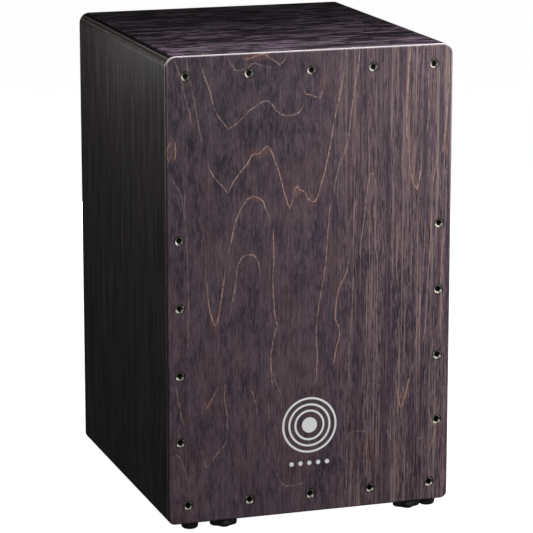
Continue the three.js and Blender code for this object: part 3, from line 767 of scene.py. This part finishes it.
def batten_finish():
    g = Finish("batten_wood", roughness=0.75, specular=0.25)
    pores = g.noise((1.4, 1.4, 1.4), detail=3, rough=0.6, shift=3)
    rings = g.noise((3.0, 3.0, 3.0), detail=1, shift=14, twist=0.5)
    mottle = g.noise((24, 12, 24), detail=2, shift=23)
    colour = g.mix(g.ramp(mottle, 0.35, 0.65), srgb(222, 196, 150), srgb(204, 172, 124))
    colour = g.mix(g.ramp(rings, 0.5, 0.62, 0.0, 0.4), colour, srgb(176, 136, 86))
    colour = g.mix(g.ramp(pores, 0.6, 0.8, 0.0, 0.35), colour, srgb(150, 116, 76))
    return g.finish(colour, g.times_plus(pores, 0.15, 0.65), pores, 0.08)


# ---- Other finishes ----


def steel_finish():
    g = Finish("screw_steel", metallic=1.0)
    tone = g.noise((1.6, 1.6, 1.6), detail=3, rough=0.6, shift=2)
    scratch = g.noise((0.12, 1.5, 1.2), detail=2, rough=0.7, shift=9)
    colour = g.mix(g.ramp(tone, 0.35, 0.7), srgb(160, 157, 148), srgb(118, 114, 104))
    colour = g.mix(g.ramp(scratch, 0.55, 0.8, 0.0, 0.4), colour, srgb(120, 114, 104))
    # Painted shade: the hex socket's walls and floor, deep in the head, are darkened.
    below_dish = g.ramp(g.y, FACE + 1.15, FACE + 1.3)
    above_floor = g.fall(g.y, FACE + 2.5, FACE + 2.8)
    colour = g.mix(g.times(below_dish, above_floor), colour, srgb(26, 24, 20))
    return g.finish(colour, g.times_plus(tone, 0.25, 0.26), scratch, 0.01)


def string_finish():
    """Wound wire: the winding shows as fine turns across the string."""
    g = Finish("string_steel", metallic=1.0)
    turn = g.math("PINGPONG", g.z, 0.16)
    tone = g.noise((2, 2, 9), detail=2, shift=4)
    # Painted shade: a darker line in the groove between the turns of the winding.
    colour = g.mix(g.ramp(turn, 0.02, 0.1), srgb(110, 104, 96), srgb(212, 208, 198))
    colour = g.mix(g.ramp(tone, 0.4, 0.75, 0.0, 0.3), colour, srgb(170, 158, 132))
    return g.finish(colour, g.times_plus(tone, 0.2, 0.22), turn, 0.12)


def brass_finish():
    g = Finish("brass", metallic=1.0)
    tone = g.noise((2.2, 2.2, 2.2), detail=3, shift=6)
    turning = g.math("PINGPONG", g.z, 0.08)
    colour = g.mix(g.ramp(tone, 0.35, 0.7), srgb(196, 164, 92), srgb(160, 122, 62))
    return g.finish(colour, g.times_plus(tone, 0.25, 0.22), turning, 0.02)


def rubber_finish():
    g = Finish("black_rubber", specular=0.35)
    grain = g.noise((0.35, 0.35, 0.35), detail=2, rough=0.6, shift=1)
    dust = g.noise((3, 3, 2), detail=3, rough=0.65, shift=8)
    colour = g.mix(g.ramp(dust, 0.45, 0.8, 0.0, 0.5), srgb(22, 21, 23), srgb(52, 49, 48))
    near_floor = g.fall(g.z, 0.2, 2.2)
    colour = g.mix(g.times(near_floor, 0.35), colour, srgb(72, 68, 64))
    return g.finish(colour, g.times_plus(dust, 0.25, 0.6), grain, 0.05)


def plastic_finish():
    g = Finish("black_plastic", specular=0.5)
    grain = g.noise((0.28, 0.28, 0.28), detail=2, rough=0.5, shift=5)
    smear = g.noise((5, 5, 3), detail=3, shift=12)
    colour = g.mix(g.ramp(smear, 0.4, 0.75, 0.0, 0.4), srgb(24, 23, 26), srgb(44, 42, 46))
    return g.finish(colour, g.times_plus(smear, 0.25, 0.36), grain, 0.03)


MATERIALS = {
    "stained_tapa": tapa_finish(),
    "stained_seat": seat_finish(),
    "stained_side": side_finish(),
    "batten_wood": batten_finish(),
    "screw_steel": steel_finish(),
    "string_steel": string_finish(),
    "brass": brass_finish(),
    "black_rubber": rubber_finish(),
    "black_plastic": plastic_finish(),
}


# ---- The box ----

SCREW_COUNTERSINK = [
    (0, -2), (5.3, -2), (5.3, -0.1), (5.15, 0.0), (4.9, 0.3), (4.7, 1.2), (2.35, 3.2), (2.35, 5), (0, 5),
]


def head_centre(node):
    """The middle of a tapa screw's head, on the tapa's face."""
    return Vector((middle(node).x, TAPA_LOW.y, middle(node).z))


def add_tapa():
    plate = cover_plate("tapa_plate", TAPA_LOW.y, TAPA_HIGH.y, 0.5 * MM)
    cutters = []
    for node in nodes_named("tapa_screw_"):
        cutters.append(turned("countersink", SCREW_COUNTERSINK, head_centre(node), axis="Y", steps=48))
    combine(plate, [merged("countersinks", cutters)])
    shade(plate, 28, weighted=True)
    show_on(plate, "stained_tapa", BOX_BODY, "tapa")


def add_back():
    plate = cover_plate("rear_plate", BACK_HIGH.y, BACK_LOW.y, 0.3 * MM)
    radius = PORT_RADIUS / MM
    thickness = (BACK_HIGH.y - BACK_LOW.y) / MM
    profile = [(0, -4), (radius, -4), (radius, thickness - 2.0)]
    for i in range(1, 9):
        angle = i / 8 * math.pi / 2
        profile.append((radius + 2 * (1 - math.cos(angle)), thickness - 2.0 + 2 * math.sin(angle)))
    profile += [(radius + 2, thickness + 4), (0, thickness + 4)]
    cutter = turned("port", profile, (0, BACK_LOW.y, PORT_HEIGHT), axis="Y", steps=160)
    combine(plate, [cutter])
    shade(plate, 28, weighted=True)
    show_on(plate, "stained_side", BOX_BODY, "back_panel")


def add_seat():
    """The seat's ends are rabbeted: a thin lip lies on each side's top edge."""
    radius = TOP_RADIUS
    outline = [(-INNER_X, SEAT_LOW.z), (INNER_X, SEAT_LOW.z), (INNER_X, UNDER_LIP)]
    outline += arc(HALF_WIDTH - radius, TOP - radius, radius, LIP_TURN, 1, 16)
    outline += arc(-HALF_WIDTH + radius, TOP - radius, radius, 1, 2 - LIP_TURN, 16)
    outline.append((-INNER_X, UNDER_LIP))
    seat = swept_panel("seat_board", outline, SEAT_LOW.y, SEAT_HIGH.y)
    shade(seat, 28, weighted=True)
    show_on(seat, "stained_seat", BOX_BODY, "seat_panel")


def add_bottom():
    radius = BOTTOM_RADIUS
    high = FLOOR_PANEL_HIGH.z
    outline = arc(HALF_WIDTH - radius, BOTTOM + radius, radius, -1, 0, 14)
    outline += [(HALF_WIDTH, high), (-HALF_WIDTH, high)]
    outline += arc(-HALF_WIDTH + radius, BOTTOM + radius, radius, 2, 3, 14)
    board = swept_panel("bottom_board", outline, FLOOR_PANEL_LOW.y, FLOOR_PANEL_HIGH.y)
    cutters = []
    for side in SIDES:
        place = middle(f"tension_bolt_{side}")
        profile = [(0, -2), (4.2, -2), (4.2, 20), (0, 20)]
        cutters.append(turned("bush_hole", profile, (place.x, place.y, BOTTOM), steps=48))
    combine(board, [merged("bush_holes", cutters)])
    shade(board, 28, weighted=True)
    show_on(board, "stained_side", BOX_BODY, "bottom_panel")


def add_side_panels():
    for side, sign in (("left", -1), ("right", 1)):
        node = f"{side}_side_panel"
        low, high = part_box(node)
        corner = arc(HALF_WIDTH - TOP_RADIUS, TOP - TOP_RADIUS, TOP_RADIUS, 0, LIP_TURN, 8)
        top = corner[-1]
        eased_top = [(top[0] + 0.05 * MM, top[1] - 0.9 * MM), (top[0] - 0.5 * MM, top[1] - 0.15 * MM)]
        eased_top.append((top[0] - 1.3 * MM, top[1]))
        outline = [(INNER_X, low.z), (HALF_WIDTH, low.z), *corner[:-2], *eased_top]
        outline = [(sign * x, z) for x, z in [*outline, (INNER_X, UNDER_LIP)]]
        board = swept_panel(f"{side}_side_board", outline, low.y, high.y, 0.9 * MM)
        shade(board, 28, weighted=True)
        show_on(board, "stained_side", BOX_BODY, node)


def dress(node, slot, width):
    """A CAD solid whose shape is right stays, with eased edges and its finish."""
    node.data.materials.clear()
    node.data.materials.append(MATERIALS[slot])
    bevel = node.modifiers.new("eased edges", "BEVEL")
    bevel.width = width
    bevel.segments = 2
    bevel.limit_method = "ANGLE"
    bevel.angle_limit = math.radians(60)


def dress_battens():
    for name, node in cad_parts.items():
        if "_batten_" in name:
            dress(node, "batten_wood", 0.8 * MM)


# ---- Screws ----

SOCKET_RADIUS = 2.9
HEX_SIDES = 6


def hex_reach(radius, angle):
    """How far a hexagon with that corner radius reaches at the angle."""
    sector = 2 * math.pi / HEX_SIDES
    return radius * math.cos(sector / 2) / math.cos((angle % sector) - sector / 2)


def add_tapa_screws():
    def radius_at(radius, height, angle):
        return hex_reach(radius, angle) if radius <= SOCKET_RADIUS and height < 2.2 else radius

    wall = SOCKET_RADIUS - 0.1
    socket = [(0, 2.3), (0.9, 2.2), (wall - 0.05, 2.0), (wall, 1.2), (SOCKET_RADIUS, 1.1)]
    head = [(3.05, 0.95), (3.95, 0.42), (4.25, 0.3), (4.42, 0.38), (4.5, 0.6), (2.05, 3.05)]
    profile = socket + head + [(2.0, 5.0), (2.0, 17.2), (0.4, 20.2), (0, 20.25)]
    for node in nodes_named("tapa_screw_"):
        centre = head_centre(node)
        piece = turned(f"{node}_finished", profile, centre, axis="Y", steps=48, radius_at=radius_at)
        shade(piece, 32)
        show_on(piece, "screw_steel", BOX_BODY, node)


def add_pan_screws():
    for node in nodes_named("foot_screw_", "anchor_screw_"):
        low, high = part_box(node)
        centre = Vector((middle(node).x, middle(node).y, low.z))
        length = (high.z - low.z) / MM
        head = softened([(0, 0), (2.6, 0), (3.8, 1.0), (3.8, 1.8), (2.0, 1.8)], 0.5)
        profile = head + [(2.0, length - 2), (0.3, length - 0.1), (0, length)]
        piece = turned(f"{node}_finished", profile, centre, steps=40)
        cross = []
        for x, y in ((2.3, 0.42), (0.42, 2.3)):
            slot_low = centre + Vector((-x, -y, -1)) * MM
            slot_high = centre + Vector((x, y, 1.1)) * MM
            cross.append(eased_box("slot", slot_low, slot_high, 0.1 * MM))
        combine(piece, cross)
        shade(piece, 32)
        show_on(piece, "screw_steel", BOX_BODY, node)


# ---- Feet ----

FOOT_SHOULDER = 5


def add_feet():
    for node in nodes_named("foot_front_", "foot_rear_"):
        low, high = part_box(node)
        centre = Vector((middle(node).x, middle(node).y, 0))
        height = (high.z - low.z) / MM
        radius = (high.x - low.x) / 2 / MM
        corners = [
            (4.5, FOOT_SHOULDER), (4.5, 0), (radius - 2.4, 0), (radius - 0.9, 1.1), (radius - 0.35, 2.6),
            (radius - 0.12, height - 2.2), (radius - 0.35, height - 1.9), (radius - 0.35, height - 1.5),
            (radius, height - 1.2), (radius, height), (2.3, height), (2.3, FOOT_SHOULDER),
            (4.5, FOOT_SHOULDER),
        ]
        piece = turned(f"{node}_finished", softened(corners, 0.5, 3)[:-1], centre, steps=72, closed=True)
        shade(piece, 40)
        show_on(piece, "black_rubber", BOX_BODY, node)


# ---- Snare tensioners ----

KNOB_LOBES = 5
KNOB_LOBE_DEPTH = 2.4
KNOB_LOBE_TURN = math.radians(-97)
THREAD_PITCH = 0.8
THREAD_TOP = 46
BORE = 2.8


def knob_reach(radius, angle):
    """The lobed outline fades into a circle towards the middle."""
    dip = (1 - math.cos(KNOB_LOBES * (angle - KNOB_LOBE_TURN))) / 2
    fade = min(1.0, max(0.0, (radius - 7) / 6))
    return radius - KNOB_LOBE_DEPTH * dip * fade


def add_knob(side, axis):
    low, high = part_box(f"snare_knob_{side}")
    base, top = low.z / MM, high.z / MM
    corners = [
        (0, base), (5.6, base), (5.9, base + 0.5), (6.6, base + 0.5), (6.9, base), (12.9, base),
        (14.3, base + 1.2), (14.5, base + 3.5), (14.3, top - 1.2), (13.2, top), (5.0, top),
        (5.0, base + 1.0), (0, base + 1.0),
    ]
    profile = softened(corners, 0.7, 4)
    piece = turned(
        f"snare_knob_{side}_finished", profile, (axis.x, axis.y, 0), steps=120,
        radius_at=lambda radius, _, angle: knob_reach(radius, angle),
    )
    shade(piece, 40)
    show_on(piece, "black_plastic", f"knob_{side}", f"snare_knob_{side}")


def add_sleeve(node, slot, body, axis, corners):
    profile = softened(corners, 0.3, 3)[:-1]
    piece = turned(f"{node}_finished", profile, (axis.x, axis.y, 0), steps=56, closed=True)
    shade(piece, 40)
    show_on(piece, slot, body, node)


def thread_radius(radius, height, angle):
    """A helical thread with the real pitch, as deep as an M5 thread."""
    turn = (height / THREAD_PITCH - angle / (2 * math.pi)) % 1
    return radius - 0.45 * abs(2 * turn - 1)


def add_bolt(side, axis):
    low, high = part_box(f"tension_bolt_{side}")
    base, eye = low.z / MM, high.z / MM - 5.4
    wire, ring_radius = 1.4, 4.0
    rings = [(0, base), (1.6, base)]
    steps = int((eye - ring_radius - 1.5 - base) / 0.1)
    for i in range(steps):
        rings.append((2.5, base + 0.5 + 0.1 * i))
    shank_top = eye - ring_radius
    rings += [(2.2, shank_top - 0.8), (2.2, shank_top + 0.4), (0, shank_top + 0.4)]

    def radius_at(radius, height, angle):
        return thread_radius(radius, height, angle) if radius == 2.5 and height < THREAD_TOP else radius

    name = f"tension_bolt_{side}_finished"
    piece = turned(name, rings, (axis.x, axis.y, 0), steps=32, radius_at=radius_at)
    circle = []
    for i in range(20):
        angle = 2 * math.pi * i / 20
        circle.append((ring_radius + wire * math.cos(angle), wire * math.sin(angle)))
    ring = turned("ring", circle, (axis.x, axis.y, eye * MM), axis="X", steps=64, closed=True)
    combine(piece, [ring], "UNION")
    shade(piece, 40)
    show_on(piece, "screw_steel", f"bolt_{side}", f"tension_bolt_{side}")


def sleeve_heights(node):
    low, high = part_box(node)
    return low.z / MM, high.z / MM


def add_tensioner(side):
    axis = middle(f"tension_bolt_{side}")
    add_knob(side, axis)
    add_bolt(side, axis)
    plain = ((f"knob_insert_{side}", "brass", f"knob_{side}", 4.7),
             (f"knob_washer_{side}", "screw_steel", BOX_BODY, 7.0))
    for node, slot, body, radius in plain:
        base, top = sleeve_heights(node)
        corners = [(BORE, base), (radius, base), (radius, top), (BORE, top), (BORE, base)]
        add_sleeve(node, slot, body, axis, corners)
    node = f"bolt_bush_{side}"
    base, top = sleeve_heights(node)
    under_flange = top - 1.5
    corners = [(BORE, base), (4.0, base), (4.0, under_flange), (6.5, under_flange), (6.5, top), (BORE, top)]
    add_sleeve(node, "brass", BOX_BODY, axis, corners + [(BORE, base)])


# ---- Snare strings ----

STRING_RADIUS = 0.5 * MM
STRING_BEND = 2.2 * MM
STRINGS = {"outer": ((5, 75), -0.8), "inner": ((27, 52), 0.8)}
INWARD = {"left": 1, "right": -1}


def string_points(axis_x, eye_z, ends, eye_y, top):
    """The string's centre line: one leg, the bend under the eye's top wire, the other leg."""
    centre = Vector((axis_x, eye_z))
    first, second = (Vector((x, top.z)) for x in sorted(ends))

    def tangent(end, turn):
        out = end - centre
        return math.atan2(out.y, out.x) + turn * math.acos(STRING_BEND / out.length)

    start, stop = tangent(first, 1), tangent(second, -1) + 2 * math.pi
    bend = []
    for i in range(25):
        angle = start + (stop - start) * i / 24
        bend.append(centre + Vector((math.cos(angle), math.sin(angle))) * STRING_BEND)
    flat = [first.lerp(bend[0], i / 40) for i in range(40)] + bend
    flat += [bend[-1].lerp(second, i / 40) for i in range(1, 41)]
    points = []
    for point in flat:
        rise = max(0.0, (point.y - eye_z) / (top.z - eye_z))
        points.append(Vector((point.x, eye_y + (top.y - eye_y) * rise, point.y)))
    return points


def tube(name, points, radius, sides=12):
    """A round tube along the points, whose rings turn with the path."""
    rings = []
    across = Vector((0, 1, 0))
    for i, point in enumerate(points):
        ahead = points[min(i + 1, len(points) - 1)] - points[max(i - 1, 0)]
        forward = ahead.normalized()
        side = forward.cross(across).normalized()
        other = forward.cross(side)
        ring = []
        for k in range(sides):
            angle = 2 * math.pi * k / sides
            ring.append(point + (side * math.cos(angle) + other * math.sin(angle)) * radius)
        rings.append(ring)
    return lofted(name, rings)


def add_strings():
    for side in SIDES:
        axis = middle(f"tension_bolt_{side}")
        eye_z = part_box(f"tension_bolt_{side}")[1].z - 1.4 * MM
        for kind, (distances, offset) in STRINGS.items():
            node = f"snare_string_{side}_{kind}"
            low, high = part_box(node)
            ends = [axis.x + INWARD[side] * distance * MM for distance in distances]
            top = Vector((0, low.y + STRING_RADIUS, high.z))
            points = string_points(axis.x, eye_z, ends, axis.y + offset * MM, top)
            piece = tube(f"{node}_finished", points, STRING_RADIUS)
            shade(piece, 60)
            show(piece, "string_steel", node)
            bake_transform(piece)


# ---- Stage ----

STAGE_MIDDLE = Vector((0, 0, 0.3))
FLOOR_GLOW = 0.96
BACKDROP_RADIUS = 11000
# Softboxes round the box: name, azimuth and elevation in degrees, distance, size, watts.
SOFTBOXES = [
    ("front", -10, 4, 2.2, (0.8, 0.8), 11.5),
    ("front_right", 50, 4, 0.9, (0.4, 0.4), 2.6),
    ("upper_right", 38, 28, 0.75, (0.4, 0.4), 1.8),
    ("left", -90, 0, 2.2, (0.6, 0.6), 1.2),
    ("rear_left", -128, -4, 2.4, (0.5, 0.5), 4.0),
    ("right", 92, -3, 1.6, (0.6, 0.4), 7.0),
    ("rear", 172, -4, 1.5, (0.7, 0.4), 9.0),
]
# Strip lights along the box's edges: name, place, aim, size, watts.
STRIPS = [
    ("seat_strip", (0, -0.155, 0.605), (0, -0.154, 0), (0.8, 0.02), 0.75),
    ("side_strip", (-0.26, 0.04, 0.485), (0, 0.04, 0.465), (0.3, 0.04), 0.16),
]


def area_light(name, location, aim, size, watts):
    data = bpy.data.lights.new(name, "AREA")
    data.shape = "RECTANGLE"
    data.size, data.size_y = size
    data.energy = watts
    light = bpy.data.objects.new(name, data)
    light.location = location
    light.rotation_mode = "QUATERNION"
    light.rotation_quaternion = (Vector(aim) - Vector(location)).to_track_quat("-Z", "Y")
    light.visible_camera = False
    bpy.context.scene.collection.objects.link(light)


def add_lights():
    for name, azimuth, elevation, distance, size, watts in SOFTBOXES:
        around, above = math.radians(azimuth), math.radians(elevation)
        level = math.cos(above)
        direction = Vector((math.sin(around) * level, -math.cos(around) * level, math.sin(above)))
        area_light(name, STAGE_MIDDLE + direction * distance, STAGE_MIDDLE, size, watts)
    for name, place, aim, size, watts in STRIPS:
        area_light(name, place, aim, size, watts)


def floor_finish():
    g = Finish("pale_floor", roughness=0.8, specular=0.1)
    tone = g.noise((900, 900, 900), detail=2)
    colour = g.mix(tone, srgb(232, 232, 232), srgb(240, 240, 240))
    g.shader.inputs["Emission Color"].default_value = (1, 1, 1, 1)
    g.shader.inputs["Emission Strength"].default_value = FLOOR_GLOW
    return g.finish(colour)


def add_stage():
    """A pale floor, which glows enough to look white and throws no light back on the box."""
    bm = bmesh.new()
    bmesh.ops.create_grid(bm, x_segments=8, y_segments=8, size=12)
    floor = link_mesh("studio_floor", bm)
    floor.data.materials.append(floor_finish())
    outer = BACKDROP_RADIUS + 50
    wall = [(BACKDROP_RADIUS, -400), (BACKDROP_RADIUS, 6000), (outer, 6000), (outer, -400)]
    backdrop = turned("studio_backdrop", wall, (0, 0, 0), steps=96, closed=True)
    backdrop.data.materials.append(floor.data.materials[0])
    for piece in (floor, backdrop):
        piece.visible_diffuse = False
        piece.visible_glossy = False
    world = bpy.data.worlds.new("studio")
    world.use_nodes = True
    world.node_tree.nodes["Background"].inputs["Color"].default_value = (1, 1, 1, 1)
    world.node_tree.nodes["Background"].inputs["Strength"].default_value = 0.03
    bpy.context.scene.world = world
    bpy.context.scene.view_settings.view_transform = "Standard"
    add_lights()


add_camera()
add_stage()
add_tapa()
add_back()
add_seat()
add_bottom()
add_side_panels()
dress_battens()
add_tapa_screws()
add_pan_screws()
add_feet()
for side in SIDES:
    add_tensioner(side)
add_strings()
dress(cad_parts["string_anchor_bar"], "screw_steel", 0.3 * MM)
